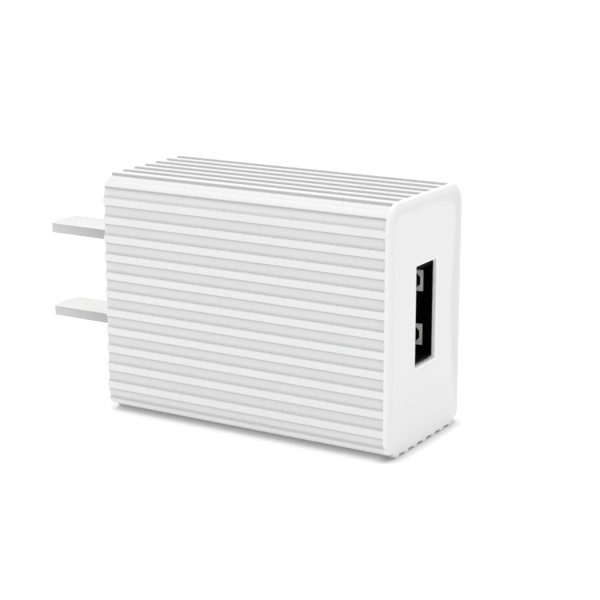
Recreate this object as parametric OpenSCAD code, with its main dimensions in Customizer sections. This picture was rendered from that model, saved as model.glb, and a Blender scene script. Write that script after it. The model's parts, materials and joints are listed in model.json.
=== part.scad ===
// USB wall charger with two flat plug blades and one upright socket for a flat USB plug.
// Millimetres. +X points out of the socket, +Z up, and the case stands on its ribbed bottom.
// The origin is the middle of the whole object's footprint, at the height of the bottom.
// Inside the modules, "case frame" means X from the rear face, Y and Z from the case's long axis.

/* [Case] */
// Length of the case from the plug face to the socket face
body_l = 45.4; // [45:0.2:60]
// Width of the case across the narrow top
body_w = 21.6; // [21.4:0.2:30]
// Height of the case
body_h = 34.4; // [34.2:0.2:44]
// Radius of the four long corners, over the ribs
corner_r = 3; // [2.6:0.1:4.5]
// Wall thickness under the grooves
wall = 1.6; // [1.2:0.1:1.7]
// Thickness of the wall that the socket opens through
front_wall = 1.6; // [1.2:0.1:1.7]
// Rounding of the edge round the socket face
front_edge_r = 0.7; // [0.5:0.1:1.1]
// Rounding of the edge round the plug face
rear_edge_r = 0.45; // [0.3:0.05:0.6]

/* [Ribs] */
// Wanted distance from rib to rib, rounded to a whole number of ribs
rib_spacing = 2.66; // [2.3:0.02:4]
// Width of a rib's flat top
rib_top_w = 0.95; // [0.6:0.05:1.2]
// Width that each sloping rib wall takes
rib_slope_w = 0.2; // [0.1:0.05:0.3]
// Height of a rib over the groove floor
rib_depth = 0.4; // [0.2:0.05:0.5]

/* [Rear cover] */
// Thickness of the cover plate that carries the blades
cover_t = 2; // [1.5:0.1:2.6]
// How far the cover plate steps into the case wall
cover_step = 0.7; // [0.4:0.1:0.8]
// Length of the rim that the cover pushes into the case
cover_rim_l = 3; // [2:0.5:3.5]
// Thickness of that rim
cover_rim_t = 1; // [0.8:0.1:1.4]

/* [Plug blades] */
// Distance between the middles of the two blades
blade_pitch = 12.7; // [12.7:0.1:12.9]
// Width of a blade
blade_w = 6.3; // [6:0.1:6.4]
// Thickness of a blade
blade_t = 1.5; // [1.4:0.05:1.6]
// Length that stands out of the plug face
blade_out = 16.2; // [15.4:0.1:18.2]
// Length of the blade's tail inside the case
blade_in = 7; // [6.4:0.1:7.2]
// Bulge of the blade's crowned tip
blade_crown = 0.8; // [0.3:0.1:1.2]
// Height of the blades over the middle of the case
blade_rise = 0.2; // [-0.4:0.1:0.6]

/* [Socket] */
// Width of the opening in the case
port_w = 6; // [5.9:0.05:6.4]
// Height of the opening in the case
port_h = 13.9; // [13.4:0.1:14.4]
// Height of the opening over the middle of the case
port_rise = 0.85; // [0:0.05:1]
// Sideways place of the opening
port_shift = -0.15; // [-0.3:0.05:0.3]
// Outer width of the metal shell
shell_w = 5.7; // [5.6:0.05:5.8]
// Outer height of the metal shell
shell_h = 13.2; // [13:0.1:13.3]
// Depth of the metal shell
shell_l = 13.8; // [13:0.1:14.2]
// Sheet thickness of the metal shell
shell_t = 0.3; // [0.25:0.05:0.35]
// How far the shell's mouth lies behind the case's face
shell_recess = 0.5; // [0.3:0.1:0.8]

/* [Circuit board] */
// Thickness of the board
board_t = 1.2; // [0.8:0.1:1.6]
// Gap between the metal shell and the board
board_gap = 0.3; // [0.3:0.05:0.5]
// Start of the board behind the rear face
board_x = 8; // [7.6:0.1:9]
// Diameter of the two mains capacitors
bulk_d = 8; // [6.3:0.1:9.6]
// Length of the two mains capacitors
bulk_l = 11.5; // [9:0.5:11.5]
// Diameter of the lower output capacitor
output_d = 8; // [6.3:0.1:8.2]
// Diameter of the upper output capacitor
output_small_d = 6.3; // [5:0.1:6.5]
// Length of both output capacitors
output_l = 10; // [8:0.5:10]
// Thickness of the transformer core across its legs
core_depth = 6; // [5:0.2:6.4]

/* [Hidden] */

round_fn = 48;
edge_fn = 24;
cut = 1;             // how far a cutting solid runs past what it cuts
fit_gap = 0.05;      // clearance of pieces that are pushed together
hole_gap = 0.15;     // radial clearance of a component lead in the board
lead_r = 0.3;        // radius of every component lead
lead_tail = 0.9;     // what a soldered lead stands proud of the board
seat_gap = 0.5;      // distance from a standing component to the board

// Case
rear_x = (blade_out - body_l) / 2;
mid_z = body_h / 2;
inner_w = body_w - 2 * (rib_depth + wall);
inner_h = body_h - 2 * (rib_depth + wall);
inner_r = max(0.4, corner_r - rib_depth - wall);
inner_x = body_l - front_wall;
envelope_grow = 0.04;    // the rounding envelope lies this far over the rib tops

// Ribs follow the outline: quarter_l is the way from the middle of a side to the middle of the top
side_run = body_h / 2 - corner_r;
top_run = body_w / 2 - corner_r;
arc_run = PI * corner_r / 2;
quarter_l = side_run + arc_run + top_run;
ribs_per_quarter = round(quarter_l / rib_spacing);
rib_pitch = quarter_l / ribs_per_quarter;
rib_base_w = rib_top_w + 2 * rib_slope_w;
arc_step = 0.3;          // length of one facet where the outline turns
band_start = 0.6;        // the plain band starts this share of the corner radius over the bottom

// Blades
boss_l = 1.5;
boss_wall = 1.1;
rivet_r = 0.75;
rivet_head_r = 1.3;
rivet_head_t = 0.4;
rivet_inset = 1.6;
leaf_t = 0.3;
leaf_w = 3.6;
leaf_foot_l = 1.6;
blade_corner_r = 0.45;
crown_r = (blade_w * blade_w / 4 + blade_crown * blade_crown) / (2 * blade_crown);

// Socket, in the case frame
port_y = port_shift;
port_z = port_rise;
mouth_x = body_l - shell_recess;
shell_rear_x = mouth_x - shell_l;
shell_in_w = shell_w - 2 * shell_t;
shell_in_h = shell_h - 2 * shell_t;
tongue_front_x = mouth_x - 2.2;
tongue_t = 1.8;
tongue_h = 11.1;
tongue_lift = 0.65;      // room for the plug's sheet between the shell and the tongue
tongue_back_y = port_y - shell_in_w / 2 + tongue_lift;
tongue_face_y = tongue_back_y + tongue_t;
block_l = 2;             // plastic block that closes the shell's rear
beam_w = 1;
beam_t = 0.2;
beam_slot_gap = 0.12;
beam_slot_depth = 1.2;
beam_sink = 0.35;        // how deep a beam's root lies under the tongue's face
beam_rise = 0.45;        // how far a beam's crest stands over the tongue's face
beam_root_x = shell_rear_x + block_l + 0.3;
beam_l = tongue_front_x - 1 - beam_root_x;
beam_hook = 1.2;
beam_places = [-3.5, -1, 1, 3.5];
tail_foot_l = 0.8;

// Retention springs, cut free from the shell's two wide walls
spring_place = 3.75;     // height of a spring's middle over or under the socket's middle
spring_h = 2.9;
spring_l = 7;
spring_tip_back = 1.32;  // from the shell's mouth to a spring's tip
spring_dip = 0.45;       // how far a spring stands into the socket at its crest
spring_flare = 0.2;
spring_hook = 1.2;
spring_root_gap = 0.06;
spring_side_gap = 0.1;
spring_hole_h = 2.3;
spring_hole_l = 2.8;
spring_hole_inset = 0.3;
spring_hole_chamfer = 0.65;

// Board, standing beside the socket's shell
board_face = port_y + shell_w / 2 + board_gap;
board_back = board_face + board_t;
board_end = inner_x - 0.4;
board_edge_gap = 0.15;
board_h = inner_h - 2 * board_edge_gap;
rail_h = 0.9;
rail_t = 0.9;
rail_gap = 0.1;
rail_x = cover_t + cover_rim_l + 1;
leg_l = 2.2;             // solder legs of the shell
leg_x = shell_rear_x + 6;
leg_gap = 0.12;
leg_tail = 0.8;
pad_r = 0.95;
pad_t = 0.04;

// Places of the components on the board, in the case frame
lead_bend = 1.4;
sleeve_t = 0.15;
bung_t = 1.6;
lead_pitch = 3.5;
lead_pitch_small = 2.5;
wall_air = 0.6;
bulk_x = board_x + 2;
bulk_upper_z = inner_h / 2 - wall_air - bulk_d / 2;
bulk_lower_z = bulk_upper_z - bulk_d - 0.5;
output_x = inner_x - 0.3 - output_l;
output_lower_z = -inner_h / 2 + wall_air + output_d / 2;
output_upper_z = inner_h / 2 - wall_air - output_small_d / 2;
resistor_x = board_x + 4.2;
resistor_r = 1.4;
resistor_low_z = -inner_h / 2 + rail_h + pad_r + 0.1;
resistor_high_z = bulk_lower_z - bulk_d / 2 - 0.55;
resistor_span = resistor_high_z - resistor_low_z;
resistor_l = resistor_span - 2.4;
resistor_z = (resistor_low_z + resistor_high_z) / 2;
resistor_y = board_face - 2.6;
choke_x = bulk_x + bulk_l + lead_bend + 3.8;
choke_z = bulk_lower_z + 0.3;
choke_r = 3;
choke_h = 7;
choke_neck_r = 1.4;
choke_flange_t = 1;
safety_x = choke_x;
safety_z = inner_h / 2 - 4.6;
safety_r = 3.7;
safety_t = 3;

// Transformer, its winding axis upright
core_w = 9.7;
core_leg = 3;
core_side = 1.6;
core_back = 1.8;
core_gap = 0.02;
core_x = board_x + 16;
core_top_z = bulk_lower_z - bulk_d / 2 - 0.5;
core_floor = 0.45 * inner_r;     // the rounder the inner corners, the higher the core stands
core_l = core_top_z + inner_h / 2 - core_floor;
core_z = core_top_z - core_l / 2;
rail_base_t = 1.2;
core_y = board_face - 0.2 - rail_base_t - 0.1 - core_w / 2;
window = (core_w - core_leg) / 2 - core_side;
tube_t = 0.35;
tube_gap = 0.05;
primary_t = 0.55;
secondary_t = 0.4;
tape_t = 0.06;
coil_turn = 0.05;        // corner radius of the innermost turn
flange_t = 0.5;
layer_gap = 0.02;
primary_in = tube_gap + tube_t + layer_gap;
secondary_in = primary_in + primary_t + layer_gap;
tape_in = secondary_in + secondary_t + layer_gap;
wind_h = core_l - 2 * core_back - 2 * flange_t - 0.3;
pin_inset = 1.75;
rail_inner_x = core_depth / 2 + 0.1;
horn_w = 1.7;

// Leads through the board, as [x, z]
function cap_leads(x, z, pitch) = [[x, z - pitch / 2], [x, z + pitch / 2]];
bulk_lead_x = bulk_x + bulk_l + lead_bend;
output_lead_x = output_x - lead_bend;
pin_z = core_l / 2 - pin_inset;
pin_places = [for (end = [-1, 1], step = [-1, 0, 1]) if (end < 0 || step != 0)
    [core_x + step * 2.6, core_z + end * pin_z]];
resistor_leads = cap_leads(resistor_x, resistor_z, resistor_span);
choke_leads = cap_leads(choke_x, choke_z, 3);
safety_leads = cap_leads(safety_x, safety_z, 5);
lead_places = concat(
    cap_leads(bulk_lead_x, bulk_upper_z, lead_pitch), cap_leads(bulk_lead_x, bulk_lower_z, lead_pitch),
    cap_leads(output_lead_x, output_lower_z, lead_pitch),
    cap_leads(output_lead_x, output_upper_z, lead_pitch_small),
    pin_places, resistor_leads, choke_leads, safety_leads);

white = [0.95, 0.95, 0.95];
nickel = [0.86, 0.86, 0.84];
tin = [0.78, 0.79, 0.8];
copper = [0.72, 0.4, 0.2];
board_black = [0.09, 0.1, 0.1];
ferrite = [0.2, 0.2, 0.21];
black_plastic = [0.07, 0.07, 0.08];
sleeve_black = [0.1, 0.1, 0.13];
tape_yellow = [0.93, 0.78, 0.2];

module in_case() translate([rear_x, 0, mid_z]) children();

// A block between two corners
module block(low, high) translate(low) cube(high - low);

// A bar along X whose section is a rectangle with rounded corners, about the X axis
module round_bar(l, w, h, r) rotate([90, 0, 90]) linear_extrude(l) round_rect(w, h, r);

module round_rect(w, h, r) {
    square([w - 2 * r, h], center = true);
    square([w, h - 2 * r], center = true);
    for (side = [-1, 1], end = [-1, 1])
        translate([side * (w / 2 - r), end * (h / 2 - r)]) circle(r, $fn = round_fn);
}

// ---------- case ----------

// Point of the case outline at the way s from the middle of a side, sunk by a depth
function outline_point(s, depth) =
    s < side_run ? [body_w / 2 - depth, s] :
    s < side_run + arc_run ? let(turn = (s - side_run) / corner_r * 180 / PI, reach = corner_r - depth)
        [top_run + reach * cos(turn), side_run + reach * sin(turn)] :
    [quarter_l - s, body_h / 2 - depth];

function turns_at(s) = s > side_run - arc_step && s < side_run + arc_run + arc_step;

function between(a, b, depth) = let(steps = ceil((b - a) / arc_step))
    [for (i = [1:steps - 1]) let(s = a + (b - a) * i / steps) if (turns_at(s)) outline_point(s, depth)];

// One quarter of the outline, rib by rib: half a rib, a groove of that depth, and the next half rib
function quarter(depth) = [for (k = [0:ribs_per_quarter - 1])
    let(s = k * rib_pitch, e = s + rib_pitch, top = rib_top_w / 2, base = rib_base_w / 2)
    each concat(between(s, s + top, 0), [outline_point(s + top, 0), outline_point(s + base, depth)],
        between(s + base, e - base, depth),
        [outline_point(e - base, depth), outline_point(e - top, 0)], between(e - top, e, 0))];

function mirrored(points, y, z) = [for (p = points) [y * p[0], z * p[1]]];
function backwards(points) = [for (i = [len(points) - 1:-1:0]) points[i]];

module outline_bar(l, depth) {
    q = quarter(depth);
    rotate([90, 0, 90]) linear_extrude(l) polygon(concat(q, backwards(mirrored(q, -1, 1)),
        mirrored(q, -1, -1), backwards(mirrored(q, 1, -1))));
}

// Plain band round the socket face that the grooves end at; along the bottom they run through
module front_band() difference() {
    translate([body_l - front_edge_r, 0, 0]) outline_bar(front_edge_r, 0);
    translate([body_l - front_edge_r - cut, -body_w / 2 - cut, -body_h / 2 - cut])
        cube([front_edge_r + 2 * cut, body_w + 2 * cut, cut + band_start * corner_r]);
}

// Side view of the case envelope with its rounded ends, half of it, over a half width
module envelope_half(half) {
    translate([rear_edge_r, 0]) square([body_l - rear_edge_r - front_edge_r, half]);
    square([body_l, half - front_edge_r]);
    square([rear_edge_r + cut / 2, half - rear_edge_r]);
    translate([rear_edge_r, half - rear_edge_r]) circle(rear_edge_r, $fn = edge_fn);
    translate([body_l - front_edge_r, half - front_edge_r]) circle(front_edge_r, $fn = edge_fn);
}

module envelope() {
    r = corner_r + envelope_grow;
    w = body_w / 2 + envelope_grow;
    h = body_h / 2 + envelope_grow;
    for (side = [-1, 1], end = [-1, 1])
        translate([0, side * (w - r), end * (h - r)]) rotate([0, 90, 0])
            rotate_extrude($fn = round_fn) rotate(90) mirror([0, 1]) envelope_half(r);
    for (flip = [0, 1]) mirror([0, flip, 0])
        translate([0, -0.001 * flip, r - h]) linear_extrude(2 * (h - r)) envelope_half(w);
    for (flip = [0, 1]) mirror([0, 0, flip])
        translate([0, w - r, 0]) rotate([90, 0, 0]) linear_extrude(2 * (w - r)) envelope_half(h);
}

module board_rails() {
    for (end = [-1, 1], y = [board_face - rail_gap - rail_t, board_back + rail_gap])
        block([rail_x, y, min(end * inner_h / 2, end * (inner_h / 2 - rail_h))],
            [inner_x + 0.1, y + rail_t, max(end * (inner_h / 2 + 0.1), end * (inner_h / 2 - rail_h))]);
}

module housing_shell() color(white) in_case() {
    difference() {
        intersection() {
            union() {
                outline_bar(body_l, rib_depth);
                front_band();
            }
            envelope();
        }
        translate([-cut, 0, 0]) round_bar(inner_x + cut, inner_w, inner_h, inner_r);
        translate([-cut, 0, 0]) round_bar(cut + cover_t, inner_w + 2 * cover_step,
            inner_h + 2 * cover_step, inner_r + cover_step);
        translate([inner_x - cut, port_y - port_w / 2, port_z - port_h / 2])
            cube([front_wall + 2 * cut, port_w, port_h]);
    }
    board_rails();
}

module rear_cover() color(white) in_case() {
    rim_w = inner_w - 2 * fit_gap;
    rim_h = inner_h - 2 * fit_gap;
    difference() {
        union() {
            round_bar(cover_t, rim_w + 2 * cover_step, rim_h + 2 * cover_step, inner_r + cover_step);
            difference() {
                round_bar(cover_t + cover_rim_l, rim_w, rim_h, inner_r);
                translate([cover_t, 0, 0]) round_bar(cover_rim_l + cut, rim_w - 2 * cover_rim_t,
                    rim_h - 2 * cover_rim_t, max(0.3, inner_r - cover_rim_t));
            }
            for (side = [-1, 1])
                block([cover_t / 2, -blade_w / 2 - boss_wall, blade_z(side) - blade_t / 2 - boss_wall],
                    [cover_t + boss_l, blade_w / 2 + boss_wall, blade_z(side) + blade_t / 2 + boss_wall]);
        }
        for (side = [-1, 1])
            translate([-cut, -blade_w / 2 - fit_gap, blade_z(side) - blade_t / 2 - fit_gap])
                cube([cover_t + boss_l + 2 * cut, blade_w + 2 * fit_gap, blade_t + 2 * fit_gap]);
    }
}

// ---------- plug blades ----------

function blade_z(side) = blade_rise + side * blade_pitch / 2;

module blade(side) in_case() difference() {
    translate([0, 0, blade_z(side) - blade_t / 2]) linear_extrude(blade_t) {
        translate([-blade_out + blade_crown + blade_corner_r, -blade_w / 2])
            square([blade_out + blade_in - blade_crown - blade_corner_r, blade_w]);
        intersection() {
            translate([-blade_out + crown_r, 0]) circle(crown_r, $fn = 96);
            translate([-blade_out - cut, -blade_w / 2 + blade_corner_r])
                square([blade_crown + blade_corner_r + 2 * cut, blade_w - 2 * blade_corner_r]);
        }
        for (edge = [-1, 1])
            translate([-blade_out + blade_crown + blade_corner_r, edge * (blade_w / 2 - blade_corner_r)])
                circle(blade_corner_r, $fn = edge_fn);
    }
    translate([blade_in - rivet_inset, 0, blade_z(side) - blade_t / 2 - cut])
        cylinder(h = blade_t + 2 * cut, r = rivet_r + fit_gap, $fn = round_fn);
}

module blade_upper() color(nickel) blade(1);
module blade_lower() color(nickel) blade(-1);

// Bent strip from a blade's tail to the board; it lies on the blade's side that faces the other blade
module contact_leaf(side) in_case() {
    near = blade_z(side) - side * blade_t / 2;
    low = min(near, near - side * leaf_t);
    foot_x = board_x + 0.3;
    difference() {
        block([cover_t + boss_l + 0.3, -leaf_w / 2, low], [foot_x + leaf_foot_l, leaf_w / 2, low + leaf_t]);
        translate([blade_in - rivet_inset, 0, low - cut])
            cylinder(h = leaf_t + 2 * cut, r = rivet_r + fit_gap, $fn = round_fn);
    }
    block([foot_x, leaf_w / 2 - 0.4, low], [foot_x + leaf_foot_l, board_face, low + leaf_t]);
    block([foot_x, board_face - leaf_t, min(low, low + leaf_t - side * leaf_foot_l)],
        [foot_x + leaf_foot_l, board_face, max(low + leaf_t, low - side * leaf_foot_l)]);
}

module contact_leaf_upper() color(nickel) contact_leaf(1);
module contact_leaf_lower() color(nickel) contact_leaf(-1);

module blade_rivets() color(nickel) in_case() for (side = [-1, 1])
    translate([blade_in - rivet_inset, 0, blade_z(side)]) mirror([0, 0, side > 0 ? 1 : 0])
        rotate_extrude($fn = round_fn) polygon([[0, -blade_t / 2 - rivet_head_t],
            [rivet_head_r, -blade_t / 2 - rivet_head_t], [rivet_head_r, -blade_t / 2],
            [rivet_r, -blade_t / 2], [rivet_r, blade_t / 2 + leaf_t],
            [rivet_head_r, blade_t / 2 + leaf_t], [rivet_head_r, blade_t / 2 + leaf_t + rivet_head_t],
            [0, blade_t / 2 + leaf_t + rivet_head_t]]);

// ---------- circuit board ----------

module circuit_board() color(board_black) in_case() difference() {
    block([board_x, board_face, -board_h / 2], [board_end, board_back, board_h / 2]);
    for (p = lead_places)
        translate([p[0], board_face - cut, p[1]]) rotate([-90, 0, 0])
            cylinder(h = board_t + 2 * cut, r = lead_r + hole_gap, $fn = edge_fn);
    for (end = [-1, 1]) shell_leg_hole(end);
}

module shell_leg_hole(end)
    translate([leg_x - leg_gap, board_face - cut, leg_z(end) - leg_gap])
        cube([leg_l + 2 * leg_gap, board_t + 2 * cut, shell_t + 2 * leg_gap]);

function leg_z(end) = port_z + end * (shell_h - shell_t) / 2 - shell_t / 2;

// Straight lead along Y through the board, from the depth y
module lead_down(x, z, y) translate([x, y, z]) rotate([-90, 0, 0])
    cylinder(h = board_back + lead_tail - y, r = lead_r, $fn = edge_fn);

// Lead that leaves a component along X (by dir) and bends down through the board
module bent_lead(x, z, y, run, dir) {
    translate([x, y, z]) rotate([0, dir * 90, 0]) cylinder(h = run, r = lead_r, $fn = edge_fn);
    translate([x + dir * run, y, z]) sphere(lead_r, $fn = edge_fn);
    lead_down(x + dir * run, z, y);
}

// Can of a lying capacitor from x on, its open end towards dir along X
module capacitor_can(x, z, d, l, dir) in_case() {
    y = board_face - seat_gap - d / 2;
    r = d / 2 - sleeve_t;
    start = dir > 0 ? x : x + l;
    translate([start, y, z]) rotate([0, dir * 90, 0]) rotate_extrude($fn = round_fn)
        polygon([[0, 0.15], [r - 0.9, 0.15], [r - 0.7, 0], [r - 0.25, 0],
            [r, 0.25], [r, l - 2.95], [r - 0.3, l - 2.5], [r, l - 2.05], [r, l - 0.5], [r - 0.4, l - 0.1],
            [r - 1, l - 0.1], [r - 1, l - bung_t], [0, l - bung_t]]);
}

module capacitor_sleeve(x, z, d, l, dir) in_case() {
    y = board_face - seat_gap - d / 2;
    r = d / 2 - sleeve_t;
    start = dir > 0 ? x : x + l;
    translate([start, y, z]) rotate([0, dir * 90, 0]) rotate_extrude($fn = round_fn)
        polygon([[r + 0.01, 0.3], [d / 2, 0.35], [d / 2, l - 2.9], [d / 2 - 0.25, l - 2.5],
            [d / 2, l - 2.1], [d / 2, l - 0.7], [r + 0.01, l - 0.6], [r + 0.01, l - 2.08],
            [r - 0.25, l - 2.5], [r + 0.01, l - 2.92]]);
}

// Rubber end plug with the two leads that it holds
module capacitor_bung(x, z, d, l, dir, pitch) in_case() {
    y = board_face - seat_gap - d / 2;
    r = d / 2 - sleeve_t - 1;
    start = dir > 0 ? x : x + l;
    translate([start, y, z]) rotate([0, dir * 90, 0]) translate([0, 0, l - bung_t])
        cylinder(h = bung_t - 0.25, r = r, $fn = round_fn);
    for (edge = [-1, 1])
        bent_lead(start + dir * (l - 0.3), z + edge * pitch / 2, y, lead_bend + 0.3, dir);
}

module mains_capacitor_upper() color(tin) capacitor_can(bulk_x, bulk_upper_z, bulk_d, bulk_l, 1);
module mains_capacitor_upper_sleeve() color(sleeve_black)
    capacitor_sleeve(bulk_x, bulk_upper_z, bulk_d, bulk_l, 1);
module mains_capacitor_upper_bung() color(black_plastic)
    capacitor_bung(bulk_x, bulk_upper_z, bulk_d, bulk_l, 1, lead_pitch);
module mains_capacitor_lower() color(tin) capacitor_can(bulk_x, bulk_lower_z, bulk_d, bulk_l, 1);
module mains_capacitor_lower_sleeve() color(sleeve_black)
    capacitor_sleeve(bulk_x, bulk_lower_z, bulk_d, bulk_l, 1);
module mains_capacitor_lower_bung() color(black_plastic)
    capacitor_bung(bulk_x, bulk_lower_z, bulk_d, bulk_l, 1, lead_pitch);
module output_capacitor_lower() color(tin)
    capacitor_can(output_x, output_lower_z, output_d, output_l, -1);
module output_capacitor_lower_sleeve() color([0.1, 0.2, 0.42])
    capacitor_sleeve(output_x, output_lower_z, output_d, output_l, -1);
module output_capacitor_lower_bung() color(black_plastic)
    capacitor_bung(output_x, output_lower_z, output_d, output_l, -1, lead_pitch);
module output_capacitor_upper() color(tin)
    capacitor_can(output_x, output_upper_z, output_small_d, output_l, -1);
module output_capacitor_upper_sleeve() color([0.1, 0.2, 0.42])
    capacitor_sleeve(output_x, output_upper_z, output_small_d, output_l, -1);
module output_capacitor_upper_bung() color(black_plastic)
    capacitor_bung(output_x, output_upper_z, output_small_d, output_l, -1, lead_pitch_small);

module fusible_resistor() color([0.35, 0.5, 0.62]) in_case() {
    translate([resistor_x, resistor_y, resistor_z - resistor_l / 2]) rotate_extrude($fn = round_fn)
        polygon([[0, 0], [resistor_r - 0.3, 0], [resistor_r, 0.4], [resistor_r, 1.6],
            [resistor_r - 0.2, 2], [resistor_r - 0.2, resistor_l - 2], [resistor_r, resistor_l - 1.6],
            [resistor_r, resistor_l - 0.4], [resistor_r - 0.3, resistor_l], [0, resistor_l]]);
    for (p = resistor_leads) {
        translate([resistor_x, resistor_y, min(p[1], resistor_z)])
            cylinder(h = abs(p[1] - resistor_z), r = lead_r, $fn = edge_fn);
        translate([resistor_x, resistor_y, p[1]]) sphere(lead_r, $fn = edge_fn);
        lead_down(p[0], p[1], resistor_y);
    }
}

module resistor_sleeve() color([0.82, 0.82, 0.78]) in_case()
    translate([resistor_x, resistor_y, resistor_z - resistor_l / 2 + 0.5]) difference() {
        cylinder(h = resistor_l - 1, r = resistor_r + 0.3, $fn = round_fn);
        translate([0, 0, -cut]) cylinder(h = resistor_l + 2 * cut, r = resistor_r + 0.02, $fn = round_fn);
    }

module choke_core() color(ferrite) in_case()
    translate([choke_x, board_face - seat_gap, choke_z]) rotate([90, 0, 0]) rotate_extrude($fn = round_fn)
        polygon([[0, 0], [choke_r, 0], [choke_r, choke_flange_t], [choke_neck_r, choke_flange_t],
            [choke_neck_r, choke_h - choke_flange_t], [choke_r, choke_h - choke_flange_t],
            [choke_r, choke_h], [0, choke_h]]);

// Copper on the choke's neck, and its two ends through the board
module choke_winding() color(copper) in_case() {
    gap = 0.02;
    span = choke_h - 2 * choke_flange_t;
    translate([choke_x, board_face - seat_gap - choke_flange_t - gap, choke_z]) rotate([90, 0, 0])
        rotate_extrude($fn = round_fn)
            translate([choke_neck_r + gap, 0]) square([choke_r - choke_neck_r - 0.35, span - 2 * gap]);
    for (p = choke_leads) translate([p[0], board_face - seat_gap + gap, p[1]]) rotate([-90, 0, 0])
        cylinder(h = seat_gap - gap + board_t + lead_tail, r = lead_r, $fn = edge_fn);
}

module safety_capacitor() color([0.12, 0.32, 0.62]) in_case() {
    y = board_face - 0.9 - safety_r;
    translate([safety_x - safety_t / 2, y, safety_z]) rotate([0, 90, 0]) rotate_extrude($fn = round_fn)
        polygon([[0, 0], [safety_r - 1.2, 0.1], [safety_r - 0.4, 0.6], [safety_r, safety_t / 2],
            [safety_r - 0.4, safety_t - 0.6], [safety_r - 1.2, safety_t - 0.1], [0, safety_t]]);
    for (p = safety_leads) lead_down(p[0], p[1], y + 2);
}

// ---------- transformer ----------

module in_transformer() in_case() translate([core_x, core_y, core_z]) children();

// Rectangular ring about the winding axis, between two distances from the core's middle leg
module coil(inner, outer, h) linear_extrude(h, center = true) difference() {
    inner_turn = inner - primary_in + coil_turn;
    round_rect(core_depth + 2 * outer, core_leg + 2 * outer, inner_turn + outer - inner);
    round_rect(core_depth + 2 * inner, core_leg + 2 * inner, inner_turn);
}

// One E-shaped ferrite half, its legs towards the other half
module core_half(side) in_transformer() mirror([0, 0, side > 0 ? 0 : 1]) {
    half = core_l / 2;
    block([-core_depth / 2, -core_w / 2, half - core_back], [core_depth / 2, core_w / 2, half]);
    for (leg = [[-core_w / 2, -core_w / 2 + core_side], [-core_leg / 2, core_leg / 2],
            [core_w / 2 - core_side, core_w / 2]])
        block([-core_depth / 2, leg[0], core_gap], [core_depth / 2, leg[1], half - core_back + 0.1]);
}

module transformer_core_upper() color(ferrite) core_half(1);
module transformer_core_lower() color(ferrite) core_half(-1);

module transformer_bobbin() color(black_plastic) in_transformer() {
    inside = tube_gap;
    outside = tube_gap + tube_t;
    flange_out = window - 0.1;
    rail_low = core_w / 2 + 0.1;
    difference() {
        union() {
            linear_extrude(wind_h + 2 * flange_t, center = true)
                square([core_depth + 2 * outside, core_leg + 2 * outside], center = true);
            for (end = [-1, 1]) translate([0, 0, end * (wind_h + flange_t) / 2]) {
                cube([core_depth + 2 * horn_w + 0.2, core_leg + 2 * flange_out, flange_t], center = true);
                for (edge = [-1, 1])
                    translate([edge * (rail_inner_x + horn_w / 2 + 0.05), rail_low / 2 + 0.3, 0])
                        cube([horn_w - 0.1, rail_low + 0.6, flange_t], center = true);
            }
            for (end = [-1, 1])
                block([-rail_inner_x - horn_w, rail_low, min(end * pin_z - 0.9, end * wind_h / 2)],
                    [rail_inner_x + horn_w, rail_low + rail_base_t, max(end * pin_z + 0.9, end * wind_h / 2)]);
        }
        linear_extrude(core_l, center = true)
            square([core_depth + 2 * inside, core_leg + 2 * inside], center = true);
        for (p = pin_places) translate([p[0] - core_x, rail_low + 0.2, p[1] - core_z]) rotate([-90, 0, 0])
            cylinder(h = rail_base_t, r = lead_r + 0.02, $fn = edge_fn);
    }
}

module transformer_pins() color(tin) in_case() for (p = pin_places)
    lead_down(p[0], p[1], core_y + core_w / 2 + 0.35);

module primary_winding() color(copper) in_transformer()
    coil(primary_in, primary_in + primary_t, wind_h - 0.1);
module secondary_winding() color([0.9, 0.72, 0.35]) in_transformer()
    coil(secondary_in, secondary_in + secondary_t, wind_h - 0.5);
module winding_tape() color(tape_yellow) in_transformer() coil(tape_in, tape_in + tape_t, wind_h - 0.2);

module core_tape() color(tape_yellow) in_transformer() rotate([0, 90, 0])
    linear_extrude(core_depth * 0.55, center = true) difference() {
        square([core_l + 2 * tape_t + 0.04, core_w + 2 * tape_t + 0.04], center = true);
        square([core_l + 0.04, core_w + 0.04], center = true);
    }

// ---------- parts soldered on the board's back ----------

// Moulded package with gull-wing legs along Z, its middle at x, z
module gull_package(x, z, l, w, t, legs, leg_step) {
    stand = 0.15;
    block([x - l / 2, board_back + stand, z - w / 2], [x + l / 2, board_back + stand + t, z + w / 2]);
    for (edge = [-1, 1], i = [0:legs - 1]) {
        leg_mid = x + (i - (legs - 1) / 2) * leg_step;
        near = edge * w / 2;
        translate([leg_mid - 0.2, board_back, z]) {
            block([0, t / 2, min(near, near + edge * 0.5)], [0.4, t / 2 + 0.2, max(near, near + edge * 0.5)]);
            block([0, 0, min(near + edge * 0.3, near + edge * 0.5)],
                [0.4, t / 2 + 0.2, max(near + edge * 0.3, near + edge * 0.5)]);
            block([0, 0, min(near + edge * 0.3, near + edge)], [0.4, 0.2, max(near + edge * 0.3, near + edge)]);
        }
    }
}

module bridge_rectifier() color(black_plastic) in_case()
    gull_package(board_x + 6.8, resistor_z, 4.7, 3.9, 2.3, 2, 2.54);
module controller_chip() color(black_plastic) in_case()
    gull_package(board_x + 8, bulk_lower_z - 2.4, 4.9, 3.9, 1.5, 4, 1.27);

module output_diode() color(black_plastic) in_case() {
    x = output_x + 3;
    z = output_upper_z;
    block([x - 2.2, board_back + 0.1, z - 1.8], [x + 2.2, board_back + 2.3, z + 1.8]);
    for (edge = [-1, 1])
        block([x + edge * 2.2 - 0.4, board_back, z - 0.75], [x + edge * 2.2 + 0.4, board_back + 0.9, z + 0.75]);
}

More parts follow.
